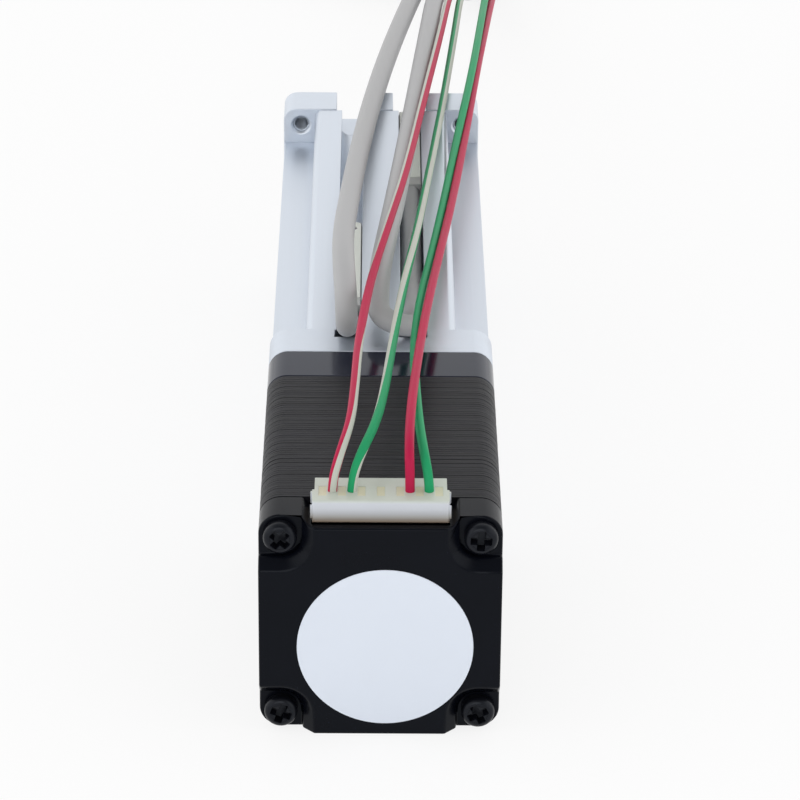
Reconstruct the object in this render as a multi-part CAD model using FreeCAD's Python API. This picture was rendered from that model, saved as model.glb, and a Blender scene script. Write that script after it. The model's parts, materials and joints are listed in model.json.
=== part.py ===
import FreeCAD, Part
import math
import os

# Ball screw electric cylinder: a 28 mm stepper motor turns a ball screw, whose nut
# pushes a hollow rod out through the front flange. Millimetres, +Z up. The origin is
# the centre of the flange's front face, and the rod moves out along +Y.

Vector = FreeCAD.Vector

# Square body, and the lengths of its sections from the front face backwards
body_size = 28.0
body_corner_radius = 2.5
flange_length = 6.5
barrel_length = 73.5
plate_length = 6.5
bell_length = 7.0
stack_length = 31.5
cover_length = 6.5

# Screws: how far in from the sides the flange's mounting holes and the motor's tie screws
# stand, and the rectangle of the screws that close the barrel's two ends
hole_inset = 2.5
port_inset = 3.1
port_spacing_z = 11.6
screw_radius = 1.25
thread_core_radius = 1.05
thread_gap = 0.05
hole_clearance = 0.15
port_depth = 7.0

# Travel
stroke = 50.0
screw_lead = 4.0
end_gap = 0.4

# Barrel extrusion: bore, guide grooves, twin sensor slots on top, cut-back corners
barrel_inset = 0.15
barrel_bore_radius = 8.25
groove_width = 3.0
groove_depth = 1.35
corner_cut_width = 4.4
corner_cut_height = 5.0
land_edge_radius = 0.9
slot_offset = 4.05
slot_opening = 3.1
slot_radius = 2.0
slot_depth = 4.1

# Front flange
notch_width = 4.7
flange_corner_radius = 1.8
mount_chamfer = 0.35
countersink_radius = 2.35

# Adapter plate between motor and barrel
pilot_inset = 3.0
pilot_length = 1.9
pilot_clearance = 0.05
cable_notch_width = 3.5
cable_notch_length = 2.3
cap_head_radius = 2.2
cap_head_height = 1.6
head_clearance = 0.2
tie_thread_length = 4.5

# Motor rear cover
cover_wall = 1.6
pocket_size = 5.0
pocket_depth = 1.9
pocket_radius = 2.5
pocket_slope = 1.35
pan_head_radius = 1.95
pan_head_height = 1.5
pan_head_edge = 0.6
cross_recess_length = 2.4
cross_recess_width = 0.7
cross_recess_depth = 0.8
plug_recess_depth = 0.75
plug_recess_clearance = 0.2
label_inset = 3.8
label_thickness = 0.12
label_x = 0.6
label_z = -2.2

# Motor inside
cavity_wall = 1.1
pole_count = 8
pole_width = 3.2
pole_shoe_angle = 34.0
pole_shoe_height = 1.1
insulator_rim = 1.5
rotor_inset = 7.0
air_gap = 0.4
rotor_teeth = 50
tooth_depth = 0.4
rotor_stack_length = 12.0
rotor_magnet_length = 3.0
magnet_inset = 0.9
insulator_thickness = 0.8
coil_thickness = 1.2
coil_clearance = 0.15

# Bearings
rear_bearing_bore = 2.0
rear_bearing_outer = 4.5
rear_bearing_width = 4.0
front_bearing_bore = 3.0
front_bearing_outer = 6.0
front_bearing_width = 4.0
bearing_seat_wall = 1.6
boss_clearance = 0.5
bearing_ring_share = 0.3
bearing_gap = 0.35
shield_thickness = 0.3
bell_shoulder = 0.8
washer_height = 0.6
washer_sheet = 0.2
washer_width = 1.1
washer_waves = 3
circlip_width = 0.7
circlip_height = 1.0
circlip_gap_angle = 60.0

# Ball screw and nut
screw_outer_radius = 4.0
screw_hole_clearance = 0.6
race_depth = 0.7
ball_radius = 0.75
ball_clearance = 0.1
ball_count = 12
nut_length = 16.0
nut_radius = 6.6
nut_bore_clearance = 0.3
return_width = 2.0
return_length = 5.0
return_end_share = 0.95

# Rod and carrier
rod_radius = 6.0
rod_bore_radius = 4.6
rod_projection = 8.0
rod_socket_depth = 3.0
rod_cap_length = 5.0
rod_spigot_length = 8.0
rod_thread_radius = 2.1
rod_thread_length = 9.0
wrench_flat_width = 10.0
wrench_flat_length = 4.0
carrier_length = 20.0
carrier_clearance = 0.35
shoe_length = 10.0
shoe_inset = 3.0
shoe_clearance = 0.1
shoe_seat_depth = 0.9
magnet_ring_length = 3.0
magnet_ring_depth = 1.2
magnet_ring_inset = 0.5
bush_wall = 1.5
wiper_length = 2.3
wiper_wall = 1.9
wiper_setback = 0.2
running_clearance = 0.06
wiper_clearance = 0.1
bumper_thickness = 1.0
bumper_wall = 1.6
bumper_clearance = 0.4

# Sensors in the slots
sensor_length = 26.2
sensor_clearance = 0.1
sensor_sink = 0.3
left_sensor_rear = -72.0
right_sensor_rear = -32.5
sensor_label_setback = 2.3
sensor_label_margin = 0.1
sensor_label_corner = 0.8
sensor_label_thickness = 0.1
sensor_screw_radius = 0.8
sensor_screw_length = 2.2
sensor_screw_inset = 2.0

# Plug and header on the rear cover
plug_ways = 6
plug_pitch = 2.22
plug_side_wall = 2.45
plug_rear_setback = 1.35
plug_depth = 5.1
plug_height = 2.9
plug_lip_depth = 0.7
plug_lip_height = 1.4
plug_lip_inset = 0.4
plug_tongue_length = 0.5
plug_tongue_inset = 0.8
plug_fit = 0.1
wire_cavity_size = 1.55
header_height = 1.15
header_floor = 0.55
pin_size = 0.6
pin_tail = 0.8
pin_length = 3.2
pin_tail_clearance = 0.3
wired_ways = (0, 1, 4, 5)
contact_length = 2.2
contact_fit = 0.05

# Cords
lead_diameter = 1.1
cable_diameter = 2.8
coil_centre_x = 4.0
coil_centre_y = 133.0
coil_radius = 15.5
cable_turns_across = 2
cable_turns_high = 3
lead_turns_across = 4
tie_width = 2.5
tie_thickness = 0.5
arc_share = 0.45

# Places that follow from the driving dimensions
half = body_size / 2
floor_z = -half
y_flange = -flange_length
y_barrel = y_flange - barrel_length
y_plate = y_barrel - plate_length
y_bell = y_plate - bell_length
y_stack = y_bell - stack_length
y_cover = y_stack - cover_length
hole_spacing = body_size - 2 * hole_inset
port_spacing_x = body_size - 2 * port_inset
hole_radius = screw_radius + hole_clearance
thread_radius = screw_radius + thread_gap
corner_holes = [(x * hole_spacing / 2, z * hole_spacing / 2) for x in (-1, 1) for z in (-1, 1)]
barrel_ports = [(x * port_spacing_x / 2, z * port_spacing_z / 2) for x in (-1, 1) for z in (-1, 1)]
barrel_half = half - barrel_inset
slot_floor_z = half - slot_depth
slot_centre_z = slot_floor_z + slot_radius
pocket_floor = y_cover + pocket_depth
label_radius = half - label_inset
pilot_radius = half - pilot_inset
cavity_radius = half - cavity_wall
slot_outer_radius = cavity_radius - insulator_rim
rotor_radius = half - rotor_inset
stator_bore_radius = rotor_radius + air_gap
carrier_radius = barrel_bore_radius - carrier_clearance
carrier_rear = y_barrel + bumper_thickness + end_gap
carrier_front = carrier_rear + carrier_length
nut_rear = carrier_rear
nut_front = nut_rear + nut_length
nut_bore_radius = screw_outer_radius + nut_bore_clearance
screw_root_radius = screw_outer_radius - race_depth
ball_circle_radius = screw_root_radius + ball_clearance + ball_radius
race_radius = ball_circle_radius + ball_radius + ball_clearance
track_start = (nut_rear + nut_front - screw_lead) / 2
rod_front = rod_projection
rod_rear = carrier_front - rod_socket_depth
rod_cap_rear = rod_front - rod_cap_length
screw_hole_radius = screw_outer_radius + screw_hole_clearance
screw_front = nut_front + stroke + end_gap
rear_bearing_rear = y_cover + cover_wall + washer_height
rear_bearing_front = rear_bearing_rear + rear_bearing_width
front_bearing_front = y_plate - bell_shoulder
front_bearing_rear = front_bearing_front - front_bearing_width
rotor_length = 2 * rotor_stack_length + rotor_magnet_length
rotor_rear = (y_stack + y_bell - rotor_length) / 2
rotor_front = rotor_rear + rotor_length
winding_overhang = insulator_thickness + coil_clearance + coil_thickness
winding_inner = stator_bore_radius + pole_shoe_height + coil_clearance
cap_head_rear = y_plate + pilot_length + head_clearance
cap_head_front = cap_head_rear + cap_head_height
sensor_top_z = barrel_half - sensor_sink
plug_rear = y_cover + plug_rear_setback
plug_front = plug_rear + plug_depth
plug_half_width = plug_pitch * (plug_ways - 1) / 2 + plug_side_wall
plug_base_z = half - plug_recess_depth
plug_top_z = plug_base_z + plug_height
plug_tongue_z = plug_base_z - plug_tongue_length
plug_way_x = [(way - (plug_ways - 1) / 2) * plug_pitch for way in range(plug_ways)]
plug_way_y = (plug_rear + plug_front) / 2
header_base_z = plug_base_z - header_height
contact_top_z = plug_tongue_z + contact_length
cable_coil_top = floor_z + cable_turns_high * cable_diameter
coil_top = cable_coil_top + lead_diameter
lead_rest_z = cable_coil_top + lead_diameter / 2
cable_rest_z = floor_z + cable_diameter / 2


def box(x0, x1, y0, y1, z0, z1):
    return Part.makeBox(x1 - x0, y1 - y0, z1 - z0, Vector(x0, y0, z0))


def bar(radius, y0, y1, x=0.0, z=0.0):
    """A round bar along Y."""
    return Part.makeCylinder(radius, y1 - y0, Vector(x, y0, z), Vector(0, 1, 0))


def cone(radius0, radius1, y0, y1, x=0.0, z=0.0):
    """A round taper along Y, radius0 wide at y0."""
    return Part.makeCone(radius0, radius1, y1 - y0, Vector(x, y0, z), Vector(0, 1, 0))


def ring(inner, outer, y0, y1):
    return bar(outer, y0, y1).cut(bar(inner, y0, y1))


def post(radius, x, y, z0, z1):
    """A round post along Z."""
    return Part.makeCylinder(radius, z1 - z0, Vector(x, y, z0))


def prism(points, y0, y1):
    """A closed outline in the XZ plane, extruded along Y."""
    corners = [Vector(x, y0, z) for x, z in points]
    outline = Part.makePolygon(corners + corners[:1])
    return Part.Face(outline).extrude(Vector(0, y1 - y0, 0))


def is_along(edge, axis):
    """True for a straight edge along the axis given as a unit vector."""
    a = edge.Vertexes[0].Point
    b = edge.Vertexes[-1].Point
    return (b - a).Length > 1e-6 and (b - a).cross(axis).Length < 1e-6


def edges_along_y(shape, wanted):
    """The straight edges along Y at the (x, z) places that wanted accepts."""
    found = []
    for edge in shape.Edges:
        place = edge.Vertexes[0].Point
        if is_along(edge, Vector(0, 1, 0)) and wanted(place.x, place.z):
            found.append(edge)
    return found


def square_bar(half_size, corner_radius, y0, y1):
    """A square bar along Y with rounded corners."""
    body = box(-half_size, half_size, y0, y1, -half_size, half_size)
    return body.makeFillet(corner_radius, edges_along_y(body, lambda x, z: True))


def around_axis(make, count):
    """Copies of a shape turned evenly about the rod axis."""
    shapes = []
    for index in range(count):
        shape = make()
        shape.rotate(Vector(0, 0, 0), Vector(0, 1, 0), 360.0 * index / count)
        shapes.append(shape)
    return shapes


def group(solids):
    return Part.makeCompound(solids)


def drilled(shape, places, radius, y0, y1):
    return shape.cut([bar(radius, y0, y1, x, z) for x, z in places])


# Motor

def rear_cover():
    """Die-cast end cover: corner pockets for the screw heads, bearing seat, plug recess on top."""
    body = square_bar(half, body_corner_radius, y_cover, y_stack)
    boss = rear_bearing_outer + bearing_seat_wall
    inside = y_cover + cover_wall
    cavity = ring(boss, cavity_radius, inside, y_stack)
    seat = bar(rear_bearing_outer, inside, y_stack)
    boss_relief = bar(boss, rear_bearing_front, y_stack)
    body = body.cut([cavity, seat, boss_relief])
    for x, z in corner_holes:
        reach_x = math.copysign(body_size, x)
        reach_z = math.copysign(body_size, z)
        edge_x, edge_z = (math.copysign(half - pocket_size, value) for value in (x, z))
        pocket = box(min(edge_x, reach_x), max(edge_x, reach_x), y_cover, pocket_floor,
                     min(edge_z, reach_z), max(edge_z, reach_z))
        inner = edges_along_y(pocket, lambda px, pz: abs(px) < half and abs(pz) < half)
        body = body.cut(pocket.makeFillet(pocket_radius, inner))
    body = body.makeChamfer(pocket_slope, pocket_rims(body))
    body = drilled(body, corner_holes, hole_radius, y_cover, y_stack)
    floor_half = plug_half_width + plug_recess_clearance
    slope = 2 * plug_recess_depth
    recess = [(-floor_half, plug_base_z), (floor_half, plug_base_z),
              (floor_half + slope, plug_base_z + slope), (-floor_half - slope, plug_base_z + slope)]
    body = body.cut(prism(recess, y_cover, y_stack))
    reach = pin_size / 2 + pin_tail_clearance
    tails = box(plug_way_x[0] - reach, plug_way_x[-1] + reach, plug_way_y - reach, plug_way_y + reach,
                header_base_z - pin_tail - pin_tail_clearance, header_base_z)
    well = box(-plug_half_width, plug_half_width, plug_rear, y_stack, header_base_z, body_size)
    return body.cut([well, tails])


def pocket_rims(body):
    """The edges round the corner pockets on the cover's rear face."""
    rims = []
    for edge in body.Edges:
        middle = edge.BoundBox.Center
        on_face = edge.BoundBox.YMax < y_cover + 1e-3
        if on_face and abs(middle.x) < half - 1e-3 and abs(middle.z) < half - 1e-3:
            rims.append(edge)
    return rims


def round_label():
    return bar(label_radius, y_cover - label_thickness, y_cover, label_x, label_z)


def pole_shoe(y0, y1):
    shoe_half = math.radians(pole_shoe_angle / 2)
    reach = 2 * slot_outer_radius
    wedge = prism([(0, 0), (-reach * math.sin(shoe_half), reach * math.cos(shoe_half)),
                   (reach * math.sin(shoe_half), reach * math.cos(shoe_half))], y0, y1)
    return wedge.common(ring(stator_bore_radius, stator_bore_radius + pole_shoe_height, y0, y1))


def stator_stack():
    """Square laminations with salient poles, each ending in a wider shoe."""
    body = square_bar(half, body_corner_radius, y_stack, y_bell)
    body = drilled(body, corner_holes, hole_radius, y_stack, y_bell)
    poles = around_axis(lambda: box(-pole_width / 2, pole_width / 2, y_stack, y_bell,
                                    stator_bore_radius, slot_outer_radius), pole_count)
    shoes = around_axis(lambda: pole_shoe(y_stack, y_bell), pole_count)
    slots = ring(stator_bore_radius, slot_outer_radius, y_stack, y_bell).cut(poles + shoes)
    return body.cut(bar(stator_bore_radius, y_stack, y_bell)).cut(slots)


def pole_insulator(y0, y1):
    """A moulded ring with a finger over each pole, between the laminations and the windings."""
    rim = ring(slot_outer_radius, cavity_radius - coil_clearance, y0, y1)
    first = stator_bore_radius + pole_shoe_height
    fingers = around_axis(lambda: box(-pole_width / 2, pole_width / 2, y0, y1,
                                      first, slot_outer_radius + coil_clearance), pole_count)
    return rim.fuse(fingers).removeSplitter()


def rear_insulator():
    """The insulator at the plug's end, with a flat under the header."""
    y0 = y_stack - insulator_thickness
    flat = box(-half, half, y0, y_stack, header_base_z - coil_clearance, half)
    return pole_insulator(y0, y_stack).cut(flat)


def winding_coil():
    """One copper coil round a pole, over both insulators."""
    inner_half = pole_width / 2 + coil_clearance
    outer_half = inner_half + coil_thickness
    rear = y_stack - insulator_thickness - coil_clearance
    front = y_bell + insulator_thickness + coil_clearance
    high = math.sqrt((slot_outer_radius - coil_clearance) ** 2 - outer_half ** 2)
    coil = box(-outer_half, outer_half, rear - coil_thickness, front + coil_thickness, winding_inner, high)
    upright = [edge for edge in coil.Edges if is_along(edge, Vector(0, 0, 1))]
    coil = coil.makeFillet(coil_thickness, upright)
    return coil.cut(box(-inner_half, inner_half, rear, front, winding_inner, high))


def winding_coils():
    return group(around_axis(winding_coil, pole_count))


def front_bell():
    """Front end bell: winding cavity, bearing seat with circlip groove, round pilot in front."""
    body = square_bar(half, body_corner_radius, y_bell, y_plate)
    body = body.fuse(bar(pilot_radius, y_plate, y_plate + pilot_length))
    cavity = ring(winding_inner - boss_clearance, cavity_radius,
                  y_bell, y_bell + winding_overhang + coil_clearance)
    seat = bar(front_bearing_outer, y_bell, front_bearing_front)
    groove = bar(front_bearing_outer + circlip_height / 2,
                 front_bearing_rear - circlip_width, front_bearing_rear)
    screw_hole = bar(screw_hole_radius, y_bell, y_plate + pilot_length)
    body = body.cut([cavity, seat, groove, screw_hole])
    return drilled(body, corner_holes, hole_radius, y_bell, y_plate)


def tie_screw(x, z):
    """A long pan-head screw through the motor into the adapter plate."""
    head_rear = pocket_floor - pan_head_height
    head = bar(pan_head_radius, head_rear + pan_head_edge, pocket_floor, x, z)
    crown = cone(pan_head_radius - pan_head_edge, pan_head_radius,
                 head_rear, head_rear + pan_head_edge, x, z)
    shank = bar(screw_radius, pocket_floor, y_plate + tie_thread_length, x, z)
    length = cross_recess_length / 2
    width = cross_recess_width / 2
    cross = [box(x - length, x + length, head_rear, head_rear + cross_recess_depth, z - width, z + width),
             box(x - width, x + width, head_rear, head_rear + cross_recess_depth, z - length, z + length)]
    return head.fuse([crown, shank]).removeSplitter().cut(cross)


def tie_screws():
    return group([tie_screw(x, z) for x, z in corner_holes])


def preload_washer():
    """A wave washer behind the rear bearing."""
    outer = rear_bearing_outer - coil_clearance
    inner = outer - washer_width
    middle = y_cover + cover_wall + washer_height / 2
    swing = (washer_height - washer_sheet) / 2
    sections = []
    steps = 8 * washer_waves
    for index in range(steps):
        angle = 2 * math.pi * index / steps
        y = middle + swing * math.sin(washer_waves * angle)
        corners = []
        for radius, side in ((inner, -1), (outer, -1), (outer, 1), (inner, 1)):
            face_y = y + side * washer_sheet / 2
            corners.append(Vector(radius * math.sin(angle), face_y, radius * math.cos(angle)))
        sections.append(Part.makePolygon(corners + corners[:1]))
    return Part.makeLoft(sections, True, True, True)


def bearing_outer_ring(bore, outer, y0, y1):
    """Outer ring with a thin shield at each face."""
    wall = (outer - bore) * bearing_ring_share
    shield_inner = bore + wall + bearing_gap
    body = ring(outer - wall, outer, y0, y1)
    shields = [ring(shield_inner, outer - wall, y0, y0 + shield_thickness),
               ring(shield_inner, outer - wall, y1 - shield_thickness, y1)]
    return body.fuse(shields).removeSplitter()


def bearing_inner_ring(bore, outer, y0, y1):
    return ring(bore, bore + (outer - bore) * bearing_ring_share, y0, y1)


def bearing_circlip():
    """Open retaining ring that holds the front bearing in the bell."""
    outer = front_bearing_outer + circlip_height / 2
    y0 = front_bearing_rear - circlip_width
    body = ring(outer - circlip_height, outer, y0, front_bearing_rear)
    gap_half = math.radians(circlip_gap_angle / 2)
    reach = 2 * outer
    gap = prism([(0, 0), (-reach * math.sin(gap_half), -reach * math.cos(gap_half)),
                 (reach * math.sin(gap_half), -reach * math.cos(gap_half))], y0, front_bearing_rear)
    return body.cut(gap)


# Plug and header

def motor_header():
    """Shallow shrouded base that carries the six pins."""
    body = box(-plug_half_width, plug_half_width, plug_rear, plug_front, header_base_z, plug_base_z)
    inset = plug_tongue_inset - plug_fit
    well = box(-plug_half_width + inset, plug_half_width - inset, plug_rear + inset, plug_front - inset,
               header_base_z + header_floor, plug_base_z)
    return body.cut([well] + pin_solids())


def pin_solids():
    reach = pin_size / 2
    base = header_base_z - pin_tail
    return [box(x - reach, x + reach, plug_way_y - reach, plug_way_y + reach, base, base + pin_length)
            for x in plug_way_x]


def header_pins():
    return group(pin_solids())


def plug_housing():
    """Moulded plug: body with a front lip, a tongue into the header and a cavity for each way."""
    body = box(-plug_half_width, plug_half_width, plug_rear, plug_front, plug_base_z, plug_top_z)
    lip = box(-plug_half_width + plug_lip_inset, plug_half_width - plug_lip_inset,
              plug_front, plug_front + plug_lip_depth, plug_top_z - plug_lip_height, plug_top_z)
    inset = plug_tongue_inset
    tongue = box(-plug_half_width + inset, plug_half_width - inset, plug_rear + inset, plug_front - inset,
                 plug_tongue_z, plug_base_z)
    reach = wire_cavity_size / 2
    cavities = [box(x - reach, x + reach, plug_way_y - reach, plug_way_y + reach, plug_tongue_z, plug_top_z)
                for x in plug_way_x]
    return body.fuse([lip, tongue]).removeSplitter().cut(cavities)


def plug_contacts():
    """Crimp contacts in the wired ways, each over its pin."""
    outer = wire_cavity_size / 2 - contact_fit
    inner = pin_size / 2 + contact_fit
    contacts = []
    for way in wired_ways:
        x = plug_way_x[way]
        sleeve = box(x - outer, x + outer, plug_way_y - outer, plug_way_y + outer,
                     plug_tongue_z, contact_top_z)
        hollow = box(x - inner, x + inner, plug_way_y - inner, plug_way_y + inner,
                     plug_tongue_z, header_base_z - pin_tail + pin_length + contact_fit)
        contacts.append(sleeve.cut(hollow))
    return group(contacts)


# Housing in front of the motor

def adapter_plate():
    """Plate that joins motor and barrel: pilot recess behind, cable notches on the front edge."""
    body = square_bar(half, body_corner_radius, y_plate, y_barrel)
    recess = bar(pilot_radius + pilot_clearance, y_plate, cap_head_rear - head_clearance / 2)
    screw_hole = bar(screw_hole_radius, y_plate, y_barrel)
    body = body.cut([recess, screw_hole])
    body = drilled(body, corner_holes, thread_radius, y_plate, y_plate + tie_thread_length + head_clearance)
    body = drilled(body, barrel_ports, cap_head_radius + head_clearance, y_plate, cap_head_front)
    body = drilled(body, barrel_ports, hole_radius, y_plate, y_barrel)
    reach = cable_notch_width / 2
    notches = [box(x - reach, x + reach, y_barrel - cable_notch_length, y_barrel, slot_floor_z, body_size)
               for x in (-slot_offset, slot_offset)]
    return body.cut(notches)


def plate_screws():
    """Low-head screws, sunk in the plate, that hold it to the barrel."""
    screws = []
    for x, z in barrel_ports:
        head = bar(cap_head_radius, cap_head_rear, cap_head_front, x, z)
        shank = bar(screw_radius, cap_head_front, y_barrel + port_depth - head_clearance, x, z)
        screws.append(head.fuse(shank).removeSplitter())
    return group(screws)


def barrel():
    """Extruded housing with a guide bore, twin sensor slots and cut-back corners."""
    body = box(-barrel_half, barrel_half, y_barrel, y_flange, -barrel_half, barrel_half)
    for x, z in corner_holes:
        edge_x = math.copysign(barrel_half - corner_cut_width, x)
        edge_z = math.copysign(barrel_half - corner_cut_height, z)
        reach_x = math.copysign(body_size, x)
        reach_z = math.copysign(body_size, z)
        body = body.cut(box(min(edge_x, reach_x), max(edge_x, reach_x), y_barrel, y_flange,
                            min(edge_z, reach_z), max(edge_z, reach_z)))
    lands = edges_along_y(body, lambda x, z: abs(x) < barrel_half and abs(abs(z) - barrel_half) < 1e-6)
    body = body.makeFillet(land_edge_radius, lands)
    groove_reach = barrel_bore_radius + groove_depth
    grooves = box(-groove_reach, groove_reach, y_barrel, y_flange, -groove_width / 2, groove_width / 2)
    tools = [bar(barrel_bore_radius, y_barrel, y_flange), grooves]
    for x in (-slot_offset, slot_offset):
        tools.append(bar(slot_radius, y_barrel, y_flange, x, slot_centre_z))
        tools.append(box(x - slot_opening / 2, x + slot_opening / 2, y_barrel, y_flange,
                         slot_centre_z, body_size))
    body = body.cut(tools)
    body = drilled(body, barrel_ports, thread_radius, y_barrel, y_barrel + port_depth)
    return drilled(body, barrel_ports, thread_radius, y_flange - port_depth, y_flange)


def front_flange():
    """Mounting flange: corner holes clear of the barrel, rod bush and wiper seats, slot notches."""
    body = square_bar(half, flange_corner_radius, y_flange, 0.0)
    tools = [bar(rod_radius + bush_wall, y_flange, 0.0), bar(rod_radius + wiper_wall, -wiper_length, 0.0)]
    for x in (-slot_offset, slot_offset):
        tools.append(box(x - notch_width / 2, x + notch_width / 2, y_flange, 0.0, slot_floor_z, body_size))
    wide = thread_core_radius + mount_chamfer
    for x, z in corner_holes:
        tools.append(bar(thread_core_radius, y_flange, 0.0, x, z))
        tools.append(cone(wide, thread_core_radius, y_flange, y_flange + mount_chamfer, x, z))
        tools.append(cone(thread_core_radius, wide, -mount_chamfer, 0.0, x, z))
    for x, z in barrel_ports:
        tools.append(bar(hole_radius, y_flange, 0.0, x, z))
        tools.append(cone(hole_radius, countersink_radius, hole_radius - countersink_radius, 0.0, x, z))
    return body.cut(tools)


def flange_screws():
    """Countersunk screws that hold the flange to the barrel."""
    screws = []
    head_length = countersink_radius - hole_radius
    head_wide = screw_radius + head_length
    for x, z in barrel_ports:
        head = cone(screw_radius, head_wide, -head_length, 0.0, x, z)
        shank = bar(screw_radius, y_flange - port_depth + head_clearance, -head_length, x, z)
        screws.append(head.fuse(shank).removeSplitter())
    return group(screws)


def rod_bush():
    return ring(rod_radius + running_clearance, rod_radius + bush_wall, y_flange, -wiper_length)


def rod_wiper():
    return ring(rod_radius + wiper_clearance, rod_radius + wiper_wall, -wiper_length, -wiper_setback)


def front_bumper():
    inner = rod_radius + bumper_clearance
    return ring(inner, inner + bumper_wall, y_flange - bumper_thickness, y_flange)


def rear_bumper():
    return ring(screw_hole_radius, screw_hole_radius + bumper_wall, y_barrel, y_barrel + bumper_thickness)


# Sensors

def sensor_screw(x, rear, margin=0.0, top=0.0):
    y = rear + sensor_length - sensor_screw_inset
    return post(sensor_screw_radius + margin, x, y, sensor_top_z - sensor_screw_length, sensor_top_z + top)


def sensor(x, rear):
    """Round-bottomed switch with a narrow neck that fills the slot's opening."""
    front = rear + sensor_length
    neck = slot_opening / 2 - sensor_clearance
    body = bar(slot_radius - sensor_clearance, rear, front, x, slot_centre_z)
    body = body.fuse(box(x - neck, x + neck, rear, front, slot_centre_z, sensor_top_z)).removeSplitter()
    above = box(x - half, x + half, rear, front, sensor_top_z, body_size)
    return body.cut([above, sensor_screw(x, rear)])


def sensor_label(x, rear):
    """A strip to the sensor's front end, with rounded corners there and a hole over the set screw."""
    reach = slot_opening / 2 - sensor_clearance - sensor_label_margin
    front = rear + sensor_length - sensor_label_margin
    strip = box(x - reach, x + reach, rear + sensor_label_setback, front,
                sensor_top_z, sensor_top_z + sensor_label_thickness)
    corners = [edge for edge in strip.Edges
               if is_along(edge, Vector(0, 0, 1)) and edge.Vertexes[0].Point.y > front - 1e-6]
    strip = strip.makeFillet(sensor_label_corner, corners)
    return strip.cut(sensor_screw(x, rear, sensor_label_margin, sensor_label_thickness))


def sensor_set_screws():
    return group([sensor_screw(-slot_offset, left_sensor_rear),
                  sensor_screw(slot_offset, right_sensor_rear)])


def sensor_labels():
    return group([sensor_label(-slot_offset, left_sensor_rear),
                  sensor_label(slot_offset, right_sensor_rear)])


# Ball screw with the motor's rotor

def ball_screw_shaft():
    """One shaft: rear journal, rotor and bearing seat, shoulder, and the screw at its root diameter."""
    journal = bar(rear_bearing_bore, y_cover + cover_wall + end_gap, rear_bearing_front)
    seat = bar(front_bearing_bore, rear_bearing_front, front_bearing_front)
    shoulder = bar(screw_outer_radius, front_bearing_front, y_barrel)
    tip_taper = screw_root_radius / 4
    screw = bar(screw_root_radius, y_barrel, screw_front - tip_taper)
    tip = cone(screw_root_radius, screw_root_radius - tip_taper, screw_front - tip_taper, screw_front)
    return journal.fuse([seat, shoulder, screw, tip]).removeSplitter()


def rotor_stack(y0, y1, phase):
    """A toothed rotor cup. The two cups stand half a tooth apart."""
    points = []
    for index in range(rotor_teeth):
        for share, radius in ((0.0, rotor_radius), (0.45, rotor_radius),
                              (0.5, rotor_radius - tooth_depth), (0.95, rotor_radius - tooth_depth)):
            angle = 2 * math.pi * (index + share + phase) / rotor_teeth
            points.append((radius * math.sin(angle), radius * math.cos(angle)))
    return prism(points, y0, y1).cut(bar(front_bearing_bore, y0, y1))


def rotor_magnet():
    y0 = rotor_rear + rotor_stack_length
    return ring(front_bearing_bore, rotor_radius - magnet_inset, y0, y0 + rotor_magnet_length)


def spacer_sleeve():
    wall = (front_bearing_outer - front_bearing_bore) * bearing_ring_share
    return ring(front_bearing_bore, front_bearing_bore + wall, rotor_front, front_bearing_rear)


# Nut, carrier and rod

def ball_place(turn):
    """A point on the ball track's helix, by turns from its start. The screw is right-handed."""
    angle = 2 * math.pi * turn
    return Vector(ball_circle_radius * math.cos(angle), track_start + screw_lead * turn,
                  -ball_circle_radius * math.sin(angle))


def return_solid():
    """The ball return's outline: an insert with rounded ends, sunk in the nut's wall."""
    middle = (nut_rear + nut_front) / 2
    reach = return_width / 2
    insert = box(-reach, reach, middle - return_length / 2, middle + return_length / 2,
                 -nut_radius, -race_radius - bearing_gap)
    upright = [edge for edge in insert.Edges if is_along(edge, Vector(0, 0, 1))]
    return insert.makeFillet(reach * return_end_share, upright)


def ball_nut():
    """Plain nut with a channel for one circuit of balls and a pocket for their return."""
    body = ring(nut_bore_radius, nut_radius, nut_rear, nut_front)
    spare = ball_radius + ball_clearance
    channel = bar(race_radius, track_start - spare, track_start + screw_lead + spare)
    return body.cut([channel, return_solid()])


def nut_balls():
    places = [ball_place((index + 0.5) / ball_count) for index in range(ball_count)]
    return group([Part.makeSphere(ball_radius, place) for place in places])


def ball_return():
    return return_solid().common(bar(nut_radius, nut_rear, nut_front))


def shoe_solids():
    half_width = groove_width / 2 - shoe_clearance
    inner = carrier_radius - shoe_seat_depth
    outer = barrel_bore_radius + groove_depth - shoe_clearance
    y0 = nut_rear + shoe_inset
    return [box(inner, outer, y0, y0 + shoe_length, -half_width, half_width),
            box(-outer, -inner, y0, y0 + shoe_length, -half_width, half_width)]


def guide_shoes():
    """Plastic pads that slide in the barrel's grooves and keep the rod from turning."""
    return group(shoe_solids())


def magnet_span():
    y1 = carrier_front - magnet_ring_inset
    return y1 - magnet_ring_length, y1


def rod_carrier():
    """Piston that joins nut and rod, with seats for the guide shoes and the sensor magnet."""
    body = bar(carrier_radius, carrier_rear, carrier_front)
    y0, y1 = magnet_span()
    tools = [bar(nut_radius, nut_rear, nut_front), bar(rod_radius, rod_rear, carrier_front),
             bar(rod_bore_radius, nut_rear, carrier_front),
             ring(carrier_radius - magnet_ring_depth, carrier_radius, y0, y1)]
    return body.cut(tools + shoe_solids())


def magnet_ring():
    y0, y1 = magnet_span()
    return ring(carrier_radius - magnet_ring_depth, carrier_radius, y0, y1)


def rod_tube():
    return ring(rod_bore_radius, rod_radius, rod_rear, rod_cap_rear)


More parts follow.
